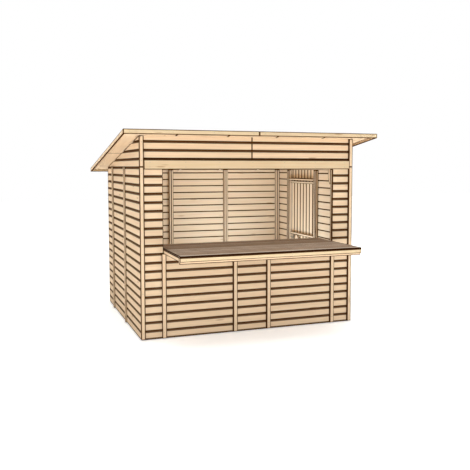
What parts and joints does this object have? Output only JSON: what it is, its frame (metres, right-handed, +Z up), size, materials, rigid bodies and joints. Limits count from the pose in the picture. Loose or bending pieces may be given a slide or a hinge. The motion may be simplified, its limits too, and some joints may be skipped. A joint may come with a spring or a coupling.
{
  "type": "wooden market stall",
  "caption": "Boarded timber stall with a single-pitch roof, a wide serving hatch with a projecting counter, and a hinged side door.",
  "frame": {"origin": "centre of the bounding box on the ground: mid-width, midway between the counter's front edge and the roof's back edge", "axes": "+X to the right along the serving front, +Y to the back, +Z up"},
  "size_m": [3.128, 3.212, 2.3794],
  "materials": {
    "wall_boarding": "planed spruce shiplap, unpainted",
    "frame_timber": "planed spruce",
    "trim_boards": "planed spruce",
    "roof_sheets": "softwood plywood",
    "counter_boards": "brown stained boards",
    "counter_frame": "planed spruce",
    "door_wood": "planed spruce boards",
    "hinge_iron": "black painted",
    "handle_steel": "brushed"
  },
  "bodies": {
    "stall": {"left_panels": "wall_boarding", "right_panels": "wall_boarding", "over_door_panel": "wall_boarding", "gables": "wall_boarding", "back_panels": "wall_boarding", "front_post_panels": "wall_boarding", "front_lower_panels": "wall_boarding", "front_upper_panels": "wall_boarding", "side_sole_plates": "frame_timber", "cross_sole_plates": "frame_timber", "left_studs": "frame_timber", "right_studs": "frame_timber", "back_studs": "frame_timber", "front_studs": "frame_timber", "hatch_sill": "frame_timber", "lintel": "frame_timber", "cross_top_plates": "frame_timber", "side_top_plates": "frame_timber", "gable_rails": "frame_timber", "gable_posts": "frame_timber", "bearing_blocks": "frame_timber", "front_battens": "trim_boards", "side_battens": "trim_boards", "back_battens": "trim_boards", "corner_boards": "trim_boards", "header_board": "trim_boards", "counter_top": "counter_boards", "counter_rails": "counter_frame", "counter_bearers": "counter_frame", "counter_edge": "counter_frame", "roof_deck_front": "roof_sheets", "roof_deck_rear": "roof_sheets", "rafters": "frame_timber", "fascia_boards": "trim_boards", "barge_boards": "trim_boards", "door_jambs": "frame_timber", "door_head": "frame_timber", "hinge_pintles": "hinge_iron"},
    "door": {"door_leaf": "door_wood", "door_ledges": "door_wood", "door_brace": "door_wood", "door_straps": "hinge_iron", "door_handles": "handle_steel"}
  },
  "joints": [
    {"name": "door_hinge", "type": "hinge", "parent": "stall", "child": "door", "pos_m": [1.3651, 0.0535, 0.905], "axis": [0, 0, -1], "range_deg": [0, 160]}
  ]
}
